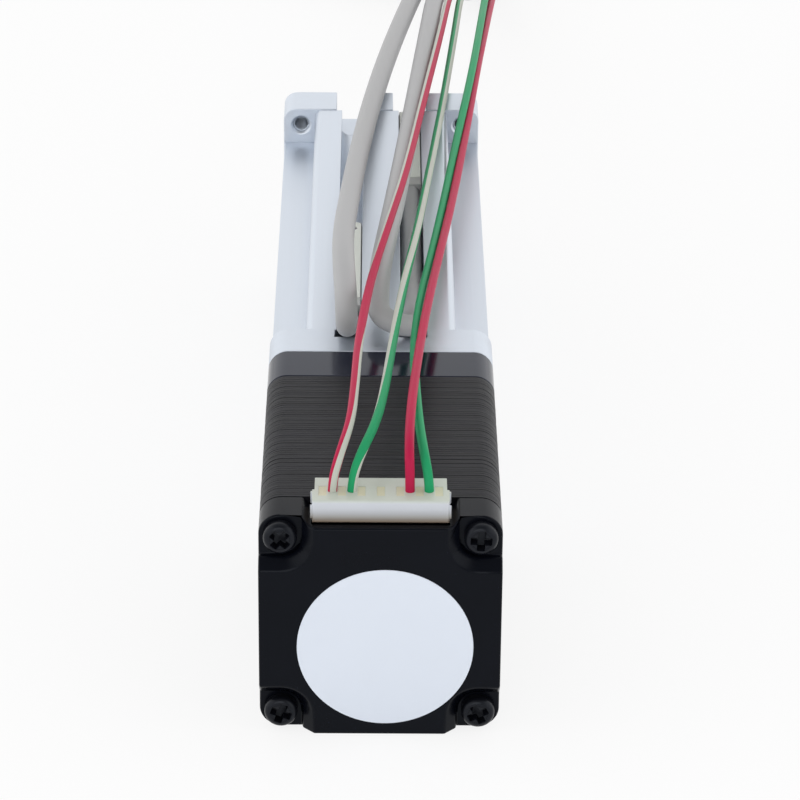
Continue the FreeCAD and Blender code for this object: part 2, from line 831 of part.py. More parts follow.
def rod_end():
    """Threaded rod end with wrench flats, spigoted into the tube."""
    cap = bar(rod_radius, rod_cap_rear, rod_front)
    spigot = bar(rod_bore_radius, rod_cap_rear - rod_spigot_length, rod_cap_rear)
    body = cap.fuse(spigot).removeSplitter()
    flat = wrench_flat_width / 2
    flats = [box(x0, x0 + rod_radius, rod_front - wrench_flat_length, rod_front, -rod_radius, rod_radius)
             for x0 in (flat, -flat - rod_radius)]
    return body.cut(flats + [bar(rod_thread_radius, rod_front - rod_thread_length, rod_front)])


# Cords: each route is a list of points chosen by hand, joined by arcs as large as the runs allow

left_cable_route = [
    (-slot_offset, left_sensor_rear, slot_centre_z), (-4.05, -80.8, 11.9), (-4.3, -80.8, 18.8),
    (-4.7, -76.0, 22.0), (-4.6, -67.0, 21.6), (-4.1, -52.0, 19.9), (-3.3, -34.0, 17.8), (-1.5, -10.8, 16.3),
    (1.0, 12.0, 15.4), (4.4, 39.0, 13.4), (7.0, 60.0, 10.4), (9.7, 78.0, 3.5), (12.5, 93.0, -4.2),
    (15.3, 105.5, -9.6), (17.2, 116.5, cable_rest_z), (18.0, 127.0, cable_rest_z)]
right_cable_route = [
    (slot_offset, right_sensor_rear, slot_centre_z), (slot_offset, -45.0, slot_centre_z), (4.0, -56.5, 11.8),
    (4.05, -66.0, 11.9), (4.05, -73.2, 12.7), (4.05, -80.9, 15.1), (2.0, -82.5, 16.1), (-0.2, -80.9, 17.1),
    (-0.3, -76.2, 17.8), (0.2, -69.0, 18.7), (1.5, -54.0, 18.8), (3.2, -31.0, 17.3), (5.2, -3.0, 15.9),
    (7.2, 25.0, 14.6), (8.4, 44.0, 12.8), (10.5, 61.0, 8.9), (13.4, 78.0, 2.6), (16.3, 93.0, -4.2),
    (18.7, 105.5, -9.6), (20.3, 116.5, cable_rest_z), (20.95, 127.0, cable_rest_z)]
lead_routes = {
    "lead_red_white": [
        (plug_way_x[0], plug_way_y, contact_top_z), (plug_way_x[0], plug_way_y, 17.4), (-4.7, -127.0, 20.6),
        (-3.5, -121.0, 21.7), (-3.1, -112.5, 21.9), (-2.7, -98.0, 21.4), (-1.3, -80.0, 21.1),
        (1.0, -63.0, 21.3), (3.3, -44.0, 20.3), (5.7, -15.4, 18.1), (8.8, 18.6, 15.9), (10.6, 44.0, 13.1),
        (13.2, 68.0, 8.6), (15.5, 89.0, 1.8), (17.0, 104.0, -3.2), (17.7, 118.0, lead_rest_z),
        (17.85, 130.0, lead_rest_z)],
    "lead_green_white": [
        (plug_way_x[1], plug_way_y, contact_top_z), (plug_way_x[1], plug_way_y, 17.4), (-2.4, -126.9, 20.4),
        (-0.5, -120.2, 21.3), (0.5, -111.0, 21.3), (1.5, -96.0, 20.6), (2.9, -79.0, 20.1),
        (4.5, -62.8, 19.3), (6.3, -39.8, 17.5), (8.7, -8.9, 15.5), (11.0, 23.1, 14.1), (12.5, 49.0, 11.3),
        (14.6, 71.0, 6.9), (16.7, 90.0, 0.6), (18.1, 104.0, -3.6), (18.85, 118.0, lead_rest_z),
        (18.95, 130.0, lead_rest_z)],
    "lead_red": [
        (plug_way_x[4], plug_way_y, contact_top_z), (plug_way_x[4], plug_way_y, 17.6), (3.2, -126.9, 20.8),
        (3.3, -120.9, 21.7), (3.8, -111.5, 21.6), (4.8, -97.0, 20.8), (5.9, -83.9, 20.0), (7.5, -67.4, 18.8),
        (9.6, -45.5, 17.0), (11.9, -18.5, 15.4), (14.0, 6.7, 14.8), (16.2, 33.0, 12.6), (18.0, 58.0, 8.4),
        (19.5, 79.0, 1.8), (20.5, 94.0, -2.9), (20.9, 106.0, -4.8), (21.05, 118.5, lead_rest_z),
        (21.15, 130.0, lead_rest_z)],
    "lead_green": [
        (plug_way_x[5], plug_way_y, contact_top_z), (plug_way_x[5], plug_way_y, 17.2), (5.0, -126.0, 19.8),
        (4.4, -118.6, 20.2), (4.1, -109.0, 20.0), (3.9, -97.0, 19.6), (4.8, -82.5, 19.2), (6.5, -66.5, 18.3),
        (8.5, -45.0, 16.8), (10.4, -23.7, 16.0), (13.3, 4.2, 15.9), (15.3, 31.0, 13.9), (17.0, 58.0, 9.7),
        (18.4, 79.0, 2.9), (19.4, 94.0, -2.0), (19.85, 106.0, -4.4), (19.95, 118.5, lead_rest_z),
        (20.05, 130.0, lead_rest_z)],
}


def cord_tube(name, route, diameter):
    """A round tube along straight runs joined by tangent arcs; prints its length and radii."""
    points = [Vector(*point) for point in route]
    edges = []
    radii = []
    start = points[0]
    for before, corner, after in zip(points, points[1:], points[2:]):
        arrive = (corner - before).normalize()
        leave = (after - corner).normalize()
        turn = arrive.getAngle(leave)
        trim = arc_share * min((corner - before).Length, (after - corner).Length)
        radius = trim / math.tan(turn / 2)
        arc_start = corner - arrive * trim
        arc_end = corner + leave * trim
        inward = (leave - arrive).normalize()
        arc_middle = corner + inward * (radius / math.cos(turn / 2) - radius)
        edges.append(Part.LineSegment(start, arc_start).toShape())
        edges.append(Part.Arc(arc_start, arc_middle, arc_end).toShape())
        radii.append(radius)
        start = arc_end
    edges.append(Part.LineSegment(start, points[-1]).toShape())
    path = Part.Wire(edges)
    heading = points[1] - points[0]
    section = Part.Wire(Part.makeCircle(diameter / 2, points[0], heading))
    tube = path.makePipeShell([section], True, False)
    expected = math.pi * diameter ** 2 / 4 * path.Length
    print("%s: length %.1f, volume ratio %.4f, radii %s"
          % (name, path.Length, tube.Volume / expected, [round(value, 1) for value in radii]))
    return tube


def coil(width, z0, z1):
    """The outer shape of coiled turns that lie flat."""
    outer = post(coil_radius + width / 2, coil_centre_x, coil_centre_y, z0, z1)
    return outer.cut(post(coil_radius - width / 2, coil_centre_x, coil_centre_y, z0, z1))


def coil_tie():
    """A band round both coils, on their far side."""
    x0 = coil_centre_x - tie_width / 2
    x1 = coil_centre_x + tie_width / 2
    middle = coil_centre_y + coil_radius
    reach = cable_turns_across * cable_diameter / 2
    outer = box(x0, x1, middle - reach - tie_thickness, middle + reach + tie_thickness,
                floor_z, coil_top + tie_thickness)
    return outer.cut(box(x0, x1, middle - reach, middle + reach, floor_z + tie_thickness, coil_top))


parts = {
    "rear_cover": rear_cover(),
    "round_label": round_label(),
    "stator_stack": stator_stack(),
    "rear_insulator": rear_insulator(),
    "front_insulator": pole_insulator(y_bell, y_bell + insulator_thickness),
    "winding_coils": winding_coils(),
    "front_bell": front_bell(),
    "tie_screws": tie_screws(),
    "preload_washer": preload_washer(),
    "rear_bearing_outer_ring": bearing_outer_ring(rear_bearing_bore, rear_bearing_outer,
                                                  rear_bearing_rear, rear_bearing_front),
    "front_bearing_outer_ring": bearing_outer_ring(front_bearing_bore, front_bearing_outer,
                                                   front_bearing_rear, front_bearing_front),
    "bearing_circlip": bearing_circlip(),
    "motor_header": motor_header(),
    "header_pins": header_pins(),
    "plug_housing": plug_housing(),
    "plug_contacts": plug_contacts(),
    "adapter_plate": adapter_plate(),
    "plate_screws": plate_screws(),
    "barrel": barrel(),
    "front_flange": front_flange(),
    "flange_screws": flange_screws(),
    "rod_bush": rod_bush(),
    "rod_wiper": rod_wiper(),
    "front_bumper": front_bumper(),
    "rear_bumper": rear_bumper(),
    "left_sensor": sensor(-slot_offset, left_sensor_rear),
    "right_sensor": sensor(slot_offset, right_sensor_rear),
    "sensor_set_screws": sensor_set_screws(),
    "sensor_labels": sensor_labels(),
    "ball_screw_shaft": ball_screw_shaft(),
    "rotor_rear_stack": rotor_stack(rotor_rear, rotor_rear + rotor_stack_length, 0.0),
    "rotor_front_stack": rotor_stack(rotor_front - rotor_stack_length, rotor_front, 0.5),
    "rotor_magnet": rotor_magnet(),
    "spacer_sleeve": spacer_sleeve(),
    "rear_bearing_inner_ring": bearing_inner_ring(rear_bearing_bore, rear_bearing_outer,
                                                  rear_bearing_rear, rear_bearing_front),
    "front_bearing_inner_ring": bearing_inner_ring(front_bearing_bore, front_bearing_outer,
                                                   front_bearing_rear, front_bearing_front),
    "ball_nut": ball_nut(),
    "nut_balls": nut_balls(),
    "ball_return": ball_return(),
    "rod_carrier": rod_carrier(),
    "guide_shoes": guide_shoes(),
    "magnet_ring": magnet_ring(),
    "rod_tube": rod_tube(),
    "rod_end": rod_end(),
    "left_sensor_cable": cord_tube("left_sensor_cable", left_cable_route, cable_diameter),
    "right_sensor_cable": cord_tube("right_sensor_cable", right_cable_route, cable_diameter),
    "motor_lead_coil": coil(lead_turns_across * lead_diameter, cable_coil_top, coil_top),
    "sensor_cable_coil": coil(cable_turns_across * cable_diameter, floor_z, cable_coil_top),
    "coil_tie": coil_tie(),
}
for lead, lead_route in lead_routes.items():
    parts[lead] = cord_tube(lead, lead_route, lead_diameter)

os.makedirs("parts", exist_ok=True)
for node, shape in parts.items():
    shape.exportStep("parts/%s.step" % node)
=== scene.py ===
import bpy
import json
import math
import random
from mathutils import Matrix, Vector

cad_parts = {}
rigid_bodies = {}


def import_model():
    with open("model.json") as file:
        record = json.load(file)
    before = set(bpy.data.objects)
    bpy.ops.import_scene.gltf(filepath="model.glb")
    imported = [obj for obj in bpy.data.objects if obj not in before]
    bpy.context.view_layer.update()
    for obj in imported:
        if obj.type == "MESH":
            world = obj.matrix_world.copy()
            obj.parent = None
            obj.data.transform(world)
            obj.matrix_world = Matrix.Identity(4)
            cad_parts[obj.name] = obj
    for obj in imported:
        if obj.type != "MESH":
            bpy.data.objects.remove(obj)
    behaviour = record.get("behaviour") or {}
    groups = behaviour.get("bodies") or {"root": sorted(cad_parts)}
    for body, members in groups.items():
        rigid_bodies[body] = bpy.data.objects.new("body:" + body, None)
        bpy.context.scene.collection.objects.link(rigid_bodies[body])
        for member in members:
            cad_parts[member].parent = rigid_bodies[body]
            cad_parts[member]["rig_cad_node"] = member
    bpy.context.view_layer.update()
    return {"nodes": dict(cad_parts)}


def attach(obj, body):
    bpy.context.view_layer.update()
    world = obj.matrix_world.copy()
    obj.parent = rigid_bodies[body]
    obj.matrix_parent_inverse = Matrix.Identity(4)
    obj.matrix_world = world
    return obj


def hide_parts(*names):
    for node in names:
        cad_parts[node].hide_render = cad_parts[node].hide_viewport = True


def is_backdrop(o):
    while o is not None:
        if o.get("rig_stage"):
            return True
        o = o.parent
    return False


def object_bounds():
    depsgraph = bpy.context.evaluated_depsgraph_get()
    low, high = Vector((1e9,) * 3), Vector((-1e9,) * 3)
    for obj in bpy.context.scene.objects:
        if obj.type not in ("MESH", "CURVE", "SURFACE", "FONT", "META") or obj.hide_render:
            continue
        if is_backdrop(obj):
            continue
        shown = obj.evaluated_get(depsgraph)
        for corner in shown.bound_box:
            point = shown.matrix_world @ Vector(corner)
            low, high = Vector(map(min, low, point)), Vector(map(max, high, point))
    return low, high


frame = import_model()

# Barrel: the cylinder's body, an extruded aluminium bar with a guide bore and two sensor slots
# along its top. It is sawn to length, deburred and matt anodised in natural silver.
MM = 0.001
merge_distance = 0.002 * MM
sharp_angle = math.radians(32)
smooth_angle = math.radians(38)


def choose(piece):
    """Selects one piece alone and makes it the active one."""
    bpy.ops.object.select_all(action="DESELECT")
    piece.select_set(True)
    bpy.context.view_layer.objects.active = piece


def copy_of(piece):
    """A copy of a piece, with a mesh of its own."""
    choose(piece)
    bpy.ops.object.duplicate()
    return bpy.context.object


def merged_copy(node):
    """A copy of a solid with its loose triangles merged, left in edit mode with all selected."""
    piece = copy_of(frame["nodes"][node])
    del piece["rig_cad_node"]
    bpy.ops.object.mode_set(mode="EDIT")
    bpy.ops.mesh.customdata_custom_splitnormals_clear()
    bpy.ops.mesh.select_all(action="SELECT")
    bpy.ops.mesh.remove_doubles(threshold=merge_distance)
    return piece


def broken_edges(node, name, body, width, segments=2, leave=None):
    """A copy of a machined solid with the small round on its sharp edges that deburring leaves."""
    piece = merged_copy(node)
    bpy.ops.mesh.dissolve_limited(angle_limit=math.radians(0.6))
    bpy.ops.object.mode_set(mode="OBJECT")
    piece.name = piece.data.name = name
    round_edges(piece, width, segments, leave)
    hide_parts(node)
    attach(piece, body)
    return piece


def round_edges(piece, width, segments=2, leave=None):
    """Rounds the sharp edges of a mesh but those left alone, and shades it smooth over them."""
    choose(piece)
    bpy.ops.object.mode_set(mode="EDIT")
    bpy.ops.mesh.select_mode(type="EDGE")
    bpy.ops.mesh.select_all(action="DESELECT")
    bpy.ops.mesh.edges_select_sharp(sharpness=sharp_angle)
    bpy.ops.object.mode_set(mode="OBJECT")
    for edge in piece.data.edges:
        start, end = (piece.data.vertices[index].co for index in edge.vertices)
        if leave and leave((start + end) / 2 / MM):
            edge.select = False
    bpy.ops.object.mode_set(mode="EDIT")
    bpy.ops.mesh.bevel(offset=width * MM, segments=segments, affect="EDGES", clamp_overlap=False)
    bpy.ops.object.mode_set(mode="OBJECT")
    bpy.ops.object.shade_smooth_by_angle(angle=smooth_angle)
    even = piece.modifiers.new("flat_faces", "WEIGHTED_NORMAL")
    even.keep_sharp = True
    bpy.ops.object.modifier_apply(modifier="flat_faces")


surface_grain = bpy.data.node_groups.new("surface_grain", "ShaderNodeTree")
surface_grain.interface.new_socket("Vector", in_out="INPUT", socket_type="NodeSocketVector")
for layer in ("Fine", "Cloud"):
    surface_grain.interface.new_socket(layer + " Scale", in_out="INPUT", socket_type="NodeSocketFloat")
    surface_grain.interface.new_socket(layer, in_out="OUTPUT", socket_type="NodeSocketFloat")
grain_in = surface_grain.nodes.new("NodeGroupInput")
grain_out = surface_grain.nodes.new("NodeGroupOutput")
for layer, detail in (("Fine", 2.0), ("Cloud", 4.0)):
    noise = surface_grain.nodes.new("ShaderNodeTexNoise")
    noise.inputs["Detail"].default_value = detail
    surface_grain.links.new(grain_in.outputs["Vector"], noise.inputs["Vector"])
    surface_grain.links.new(grain_in.outputs[layer + " Scale"], noise.inputs["Scale"])
    surface_grain.links.new(noise.outputs["Fac"], grain_out.inputs[layer])


def remap(tree, value, span, result, interpolation="LINEAR"):
    """Turns one span of a value into another, and holds it at the ends."""
    change = tree.nodes.new("ShaderNodeMapRange")
    change.interpolation_type = interpolation
    for socket, number in zip(("From Min", "From Max", "To Min", "To Max"), (*span, *result)):
        change.inputs[socket].default_value = number
    tree.links.new(value, change.inputs["Value"])
    return change.outputs["Result"]


def make_finish(name, colour, spread, roughness, relief, metallic=0.0, ior=1.45, fine_scale=2600.0,
                cloud_scale=140.0, stretch=(1.0, 1.0, 1.0), gloss_tint=(1.0, 1.0, 1.0)):
    """A material whose colour, gloss and relief vary with a grain on the piece's own coordinates."""
    material = bpy.data.materials.new(name)
    material.use_nodes = True
    tree = material.node_tree
    nodes = tree.nodes
    links = tree.links
    shader = nodes["Principled BSDF"]
    shader.inputs["Metallic"].default_value = metallic
    shader.inputs["IOR"].default_value = ior
    shader.inputs["Specular Tint"].default_value = (*gloss_tint, 1.0)
    place = nodes.new("ShaderNodeTexCoord")
    lay = nodes.new("ShaderNodeMapping")
    lay.inputs["Scale"].default_value = stretch
    links.new(place.outputs["Object"], lay.inputs["Vector"])
    grain = nodes.new("ShaderNodeGroup")
    grain.node_tree = surface_grain
    grain.inputs["Fine Scale"].default_value = fine_scale
    grain.inputs["Cloud Scale"].default_value = cloud_scale
    links.new(lay.outputs["Vector"], grain.inputs["Vector"])
    tint = nodes.new("ShaderNodeValToRGB")
    tint.name = "tint"
    for stop, position, share in zip(tint.color_ramp.elements, (0.32, 0.68), (1 - spread, 1 + spread)):
        stop.position = position
        stop.color = (*(min(1.0, channel * share) for channel in colour), 1.0)
    links.new(grain.outputs["Cloud"], tint.inputs["Fac"])
    links.new(tint.outputs["Color"], shader.inputs["Base Color"])
    gloss = remap(tree, grain.outputs["Cloud"], (0.3, 0.7), (roughness * 0.88, roughness * 1.12))
    links.new(gloss, shader.inputs["Roughness"])
    bump = nodes.new("ShaderNodeBump")
    bump.inputs["Distance"].default_value = relief * MM
    links.new(grain.outputs["Fine"], bump.inputs["Height"])
    links.new(bump.outputs["Normal"], shader.inputs["Normal"])
    return material


def dress(piece, material):
    """Gives a new piece its finish, as its only material."""
    piece.data.materials.clear()
    piece.data.materials.append(material)


def dress_solids(material, *nodes):
    """Gives solids that stay as they are their finish."""
    for node in nodes:
        frame["nodes"][node].material_slots[0].material = material


silver = (0.635, 0.68, 0.745)
extruded_silver = make_finish("extruded_silver", silver, 0.04, 0.42, 0.006, metallic=1.0,
                              fine_scale=2200.0, cloud_scale=500.0, stretch=(1.0, 0.03, 1.0))
barrel = broken_edges("barrel", "slotted_barrel", "housing", width=0.08)
dress(barrel, extruded_silver)

# Ball screw: one shaft with the motor's shaft, ground steel with a rolled right-handed raceway of
# 4 mm lead. Only its raceway is added here, over the solid's root diameter.
raceway_radius = 0.85
ball_circle = 4.15
screw_crest = 4.0
screw_lead = 4.0
ball_track_y = -72.6
raceway_start = ball_track_y - 2 * screw_lead
raceway_rear, raceway_front = -79.9, -13.2
raceway_turns = 18


def pick(piece, wanted, mode="FACE"):
    """Enters edit mode with the faces, by centre and normal, or the points selected that are wanted."""
    bpy.context.view_layer.objects.active = piece
    bpy.ops.object.mode_set(mode="EDIT")
    bpy.ops.mesh.select_mode(type=mode)
    bpy.ops.mesh.select_all(action="DESELECT")
    bpy.ops.object.mode_set(mode="OBJECT")
    parts = piece.data.polygons if mode == "FACE" else piece.data.vertices
    for part in parts:
        part.select = wanted(part.center, part.normal) if mode == "FACE" else wanted(part.co)
    bpy.ops.object.mode_set(mode="EDIT")


def wind(piece, turns, lead, steps):
    """Sweeps a flat outline round the rod axis along a right-handed helix."""
    helix = piece.modifiers.new("helix", "SCREW")
    helix.axis = "Y"
    helix.angle = math.tau
    helix.screw_offset = lead * MM
    helix.iterations = turns
    helix.steps = helix.render_steps = steps
    helix.use_merge_vertices = True
    helix.merge_threshold = 0.001 * MM
    bpy.ops.object.modifier_apply(modifier="helix")


bpy.ops.object.select_all(action="DESELECT")
bpy.ops.mesh.primitive_circle_add(vertices=24, radius=raceway_radius * MM,
                                  location=(ball_circle * MM, raceway_start * MM, 0))
thread = bpy.context.object
thread.name = thread.data.name = "screw_raceway"
bpy.ops.object.transform_apply(location=True, rotation=True, scale=True)
pick(thread, lambda co: co.x > screw_crest * MM, "VERT")
bpy.ops.mesh.delete(type="VERT")
bpy.ops.object.mode_set(mode="OBJECT")
for side in (-1, 1):
    reach = max(side * vertex.co.y for vertex in thread.data.vertices)
    pick(thread, lambda co: abs(side * co.y - reach) < 1e-7, "VERT")
    edge_y = raceway_start + side * screw_lead / 2
    bpy.ops.mesh.extrude_vertices_move(TRANSFORM_OT_translate={
        "value": (0.0, edge_y * MM - side * reach, 0.0)})
    bpy.ops.object.mode_set(mode="OBJECT")
wind(thread, raceway_turns, screw_lead, steps=28)
pick(thread, lambda co: True, "VERT")
bpy.ops.mesh.remove_doubles(threshold=merge_distance)
bpy.ops.mesh.bisect(plane_co=(0, raceway_rear * MM, 0), plane_no=(0, 1, 0), clear_inner=True,
                    use_fill=True)
bpy.ops.mesh.select_all(action="SELECT")
bpy.ops.mesh.bisect(plane_co=(0, raceway_front * MM, 0), plane_no=(0, 1, 0), clear_outer=True,
                    use_fill=True)
bpy.ops.mesh.select_all(action="SELECT")
bpy.ops.mesh.normals_make_consistent(inside=False)
bpy.ops.object.mode_set(mode="OBJECT")
bpy.ops.object.shade_smooth_by_angle(angle=math.radians(35))
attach(thread, "screw")
ground_steel = make_finish("ground_steel", (0.50, 0.51, 0.53), 0.05, 0.26, 0.003, metallic=1.0,
                           fine_scale=3200.0, stretch=(1.0, 8.0, 1.0))
dress(thread, ground_steel)
dress_solids(ground_steel, "ball_screw_shaft")

# Ball nut: a hardened steel nut with one circuit of balls and a moulded return, pressed into the
# carrier that slides in the barrel on two plastic shoes and carries the sensors' magnet.
moulded_grey = make_finish("moulded_grey", (0.26, 0.26, 0.28), 0.06, 0.5, 0.02)
ferrite = make_finish("ferrite", (0.045, 0.045, 0.05), 0.15, 0.6, 0.03)
turned_silver = make_finish("turned_silver", silver, 0.04, 0.38, 0.004, metallic=1.0,
                            fine_scale=2600.0, stretch=(1.0, 6.0, 1.0))
dress_solids(ground_steel, "ball_nut", "nut_balls")
dress_solids(moulded_grey, "ball_return", "guide_shoes")
dress_solids(turned_silver, "rod_carrier")
dress_solids(ferrite, "magnet_ring")

# Rod: a hard-chromed steel tube, closed by a steel end with wrench flats and a tapped hole for
# the load. The end's edges are chamfered and its thread shows in the hole.
chromed_steel = make_finish("chromed_steel", (0.58, 0.59, 0.61), 0.03, 0.16, 0.002, metallic=1.0,
                            fine_scale=3200.0, stretch=(1.0, 10.0, 1.0))
dress_solids(chromed_steel, "rod_tube")
rod_end = broken_edges("rod_end", "tapped_rod_end", "rod", width=0.1)
dress(rod_end, chromed_steel)


def tapped_thread(name, body, x, z, y0, y1, radius, pitch, steps):
    """The ridges of a tapped thread, standing on the wall of its core bore."""
    ridge_radius = 0.36 * pitch
    bpy.ops.object.select_all(action="DESELECT")
    bpy.ops.mesh.primitive_circle_add(vertices=4, radius=ridge_radius * MM,
                                      location=(radius * MM, y0 * MM, 0))
    ridge = bpy.context.object
    ridge.name = ridge.data.name = name
    bpy.ops.object.transform_apply(location=True, rotation=True, scale=True)
    wind(ridge, int((y1 - y0) / pitch), pitch, steps)
    pick(ridge, lambda co: True, "VERT")
    bpy.ops.mesh.fill_holes(sides=4)
    bpy.ops.mesh.normals_make_consistent(inside=False)
    bpy.ops.object.mode_set(mode="OBJECT")
    ridge.location = (x * MM, 0, z * MM)
    bpy.ops.object.transform_apply(location=True, rotation=True, scale=True)
    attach(ridge, body)
    return ridge


rod_thread = tapped_thread("rod_end_thread_ridges", "rod", x=0.0, z=0.0, y0=-0.6, y1=7.6, radius=2.1,
                           pitch=0.8, steps=28)
dress(rod_thread, chromed_steel)

# Front flange: a milled and anodised aluminium plate that guides the rod. Four tapped corner
# holes mount the cylinder, and four countersunk screws hold the flange to the barrel.
milled_silver = make_finish("milled_silver", silver, 0.035, 0.44, 0.006, metallic=1.0,
                            fine_scale=2600.0, cloud_scale=300.0)
flange = broken_edges("front_flange", "milled_flange", "housing", width=0.14)
dress(flange, milled_silver)
corner_hole = 11.5
threads = []
for x in (-corner_hole, corner_hole):
    for z in (-corner_hole, corner_hole):
        threads.append(tapped_thread("flange_thread", "housing", x, z, y0=-6.0, y1=-0.6, radius=1.05,
                                     pitch=0.45, steps=16))


def join(pieces, name):
    """Joins pieces into one mesh, with its place in the mesh."""
    bpy.ops.object.select_all(action="DESELECT")
    for piece in pieces:
        piece.select_set(True)
    bpy.context.view_layer.objects.active = pieces[0]
    bpy.ops.object.join()
    pieces[0].name = pieces[0].data.name = name
    bpy.ops.object.transform_apply(location=True, rotation=True, scale=True)
    return pieces[0]


flange_threads = join(threads, "flange_hole_threads")
dress(flange_threads, milled_silver)


def round_bar(sides, radius, y0, y1):
    """A bar along the rod axis, the blank of a screw or the tool for its recess."""
    bpy.ops.object.select_all(action="DESELECT")
    bpy.ops.mesh.primitive_cylinder_add(vertices=sides, radius=radius * MM, depth=(y1 - y0) * MM,
                                        location=(0, (y0 + y1) / 2 * MM, 0),
                                        rotation=(math.pi / 2, 0, 0))
    bpy.ops.object.transform_apply(location=True, rotation=True, scale=True)
    return bpy.context.object


def sunk(piece, cutter):
    """Cuts a recess and removes the tool that cut it."""
    choose(piece)
    cut = piece.modifiers.new("recess", "BOOLEAN")
    cut.operation = "DIFFERENCE"
    cut.solver = "EXACT"
    cut.object = cutter
    bpy.ops.object.modifier_apply(modifier="recess")
    bpy.data.objects.remove(cutter)


def set_out(screw, name, places):
    """Puts copies of one screw at their places, each turned as the driver left it."""
    copies = []
    for x, z, turn in places:
        copy = copy_of(screw)
        copy.rotation_euler.y = turn
        copy.location = (x * MM, 0, z * MM)
        copies.append(copy)
    bpy.data.objects.remove(screw)
    return join(copies, name)


countersink_radius = 2.2
countersink_depth = 0.95
shank_radius = 1.25
flat_shank_length = 12.35
hex_radius = 0.87
hex_depth = 0.9
flat_head = round_bar(40, countersink_radius, -countersink_depth, 0.0)
pick(flat_head, lambda centre, normal: normal.y < -0.9)
narrowing = shank_radius / countersink_radius
bpy.ops.transform.resize(value=(narrowing, 1.0, narrowing), center_override=(0, -countersink_depth * MM, 0))
bpy.ops.mesh.extrude_region_move(TRANSFORM_OT_translate={"value": (0, -flat_shank_length * MM, 0)})
bpy.ops.object.mode_set(mode="OBJECT")
sunk(flat_head, round_bar(6, hex_radius, -hex_depth, hex_depth))
round_edges(flat_head, 0.06)
flat_screws = set_out(flat_head, "countersunk_screws",
                      ((-10.9, -5.8, 0.2), (-10.9, 5.8, 0.7), (10.9, -5.8, 0.45), (10.9, 5.8, 0.0)))
black_oxide = make_finish("black_oxide", (0.0045, 0.005, 0.0075), 0.15, 0.3, 0.006, ior=1.3,
                          gloss_tint=(0.84, 0.9, 1.0))
dress(flat_screws, black_oxide)
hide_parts("flange_screws")
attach(flat_screws, "housing")

# Rod bush, wiper and bumpers: a sintered bronze sleeve pressed into the flange, a rubber wiper
# that keeps dirt off the rod, and two rubber rings that stop the carrier at its ends of travel.
sintered_bronze = make_finish("sintered_bronze", (0.50, 0.34, 0.15), 0.12, 0.42, 0.02, metallic=1.0)
moulded_rubber = make_finish("moulded_rubber", (0.016, 0.016, 0.017), 0.2, 0.62, 0.03)
dress_solids(sintered_bronze, "rod_bush")
wiper = broken_edges("rod_wiper", "rod_wiper_ring", "housing", width=0.25, segments=3)
dress(wiper, moulded_rubber)
dress_solids(moulded_rubber, "front_bumper", "rear_bumper")

# Adapter plate: a milled and anodised aluminium plate between motor and barrel, with two notches
# where the sensor cables come up. Four sunk screws hold it to the barrel.
plate = broken_edges("adapter_plate", "milled_adapter_plate", "housing", width=0.11)
dress(plate, milled_silver)
dress_solids(black_oxide, "plate_screws")

# Front bell: the motor's die-cast front end, enamelled in gloss black. The front bearing sits in
# it behind a circlip, and the rear bearing is preloaded by a wave washer.
gloss_black = make_finish("gloss_black", (0.004, 0.005, 0.016), 0.1, 0.13, 0.002, ior=1.4,
                          fine_scale=900.0, gloss_tint=(0.76, 0.86, 1.0))
bell = broken_edges("front_bell", "enamelled_front_bell", "housing", width=0.2, segments=3)
dress(bell, gloss_black)
dress_solids(ground_steel, "preload_washer", "rear_bearing_outer_ring", "front_bearing_outer_ring",
             "bearing_circlip", "rear_bearing_inner_ring", "front_bearing_inner_ring", "spacer_sleeve")

# Stator: 63 punched steel sheets of half a millimetre, stacked, welded and varnished dark. No two
# sheets line up quite, so thin dark lines run round the outside.
stack_rear = -125.0
sheet_count = 63
sheet_pitch = 0.5
sheet_thickness = 0.455
sheet_half = 14
largest_shrink = 0.03
sheet = merged_copy("stator_stack")
bpy.ops.mesh.bisect(plane_co=(0, (stack_rear + sheet_thickness) * MM, 0), plane_no=(0, 1, 0),
                    clear_outer=True, use_fill=True)
bpy.ops.object.mode_set(mode="OBJECT")
punching = random.Random(28)
sheets = [sheet]
for index in range(1, sheet_count):
    copy = copy_of(sheet)
    shrink = punching.uniform(0.0, largest_shrink)
    copy.scale = (1 - shrink / sheet_half, 1, 1 - shrink / sheet_half)
    copy.location.y = index * sheet_pitch * MM
    sheets.append(copy)
laminations = join(sheets, "stator_laminations")
bpy.ops.object.shade_smooth_by_angle(angle=math.radians(30))
varnished_sheets = make_finish("varnished_sheets", (0.009, 0.009, 0.0115), 0.75, 0.38, 0.03, ior=1.23,
                               fine_scale=260.0, cloud_scale=120.0, stretch=(1.0, 26.0, 1.0),
                               gloss_tint=(0.92, 0.93, 1.0))
dress(laminations, varnished_sheets)
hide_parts("stator_stack")
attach(laminations, "housing")

# Windings and rotor: enamelled copper coils on moulded insulators, and a toothed steel rotor in
# two halves with a magnet between them, pressed on the shaft.
enamelled_copper = make_finish("enamelled_copper", (0.62, 0.24, 0.09), 0.15, 0.3, 0.06, metallic=1.0,
                               fine_scale=700.0, stretch=(1.0, 0.05, 1.0))
moulded_cream = make_finish("moulded_cream", (0.66, 0.63, 0.54), 0.05, 0.5, 0.02)
rotor_sheets = make_finish("rotor_sheets", (0.27, 0.27, 0.29), 0.12, 0.4, 0.02, metallic=1.0,
                           fine_scale=300.0, stretch=(1.0, 12.0, 1.0))
dress_solids(enamelled_copper, "winding_coils")
dress_solids(moulded_cream, "rear_insulator", "front_insulator")
dress_solids(rotor_sheets, "rotor_rear_stack", "rotor_front_stack")
dress_solids(ferrite, "rotor_magnet")

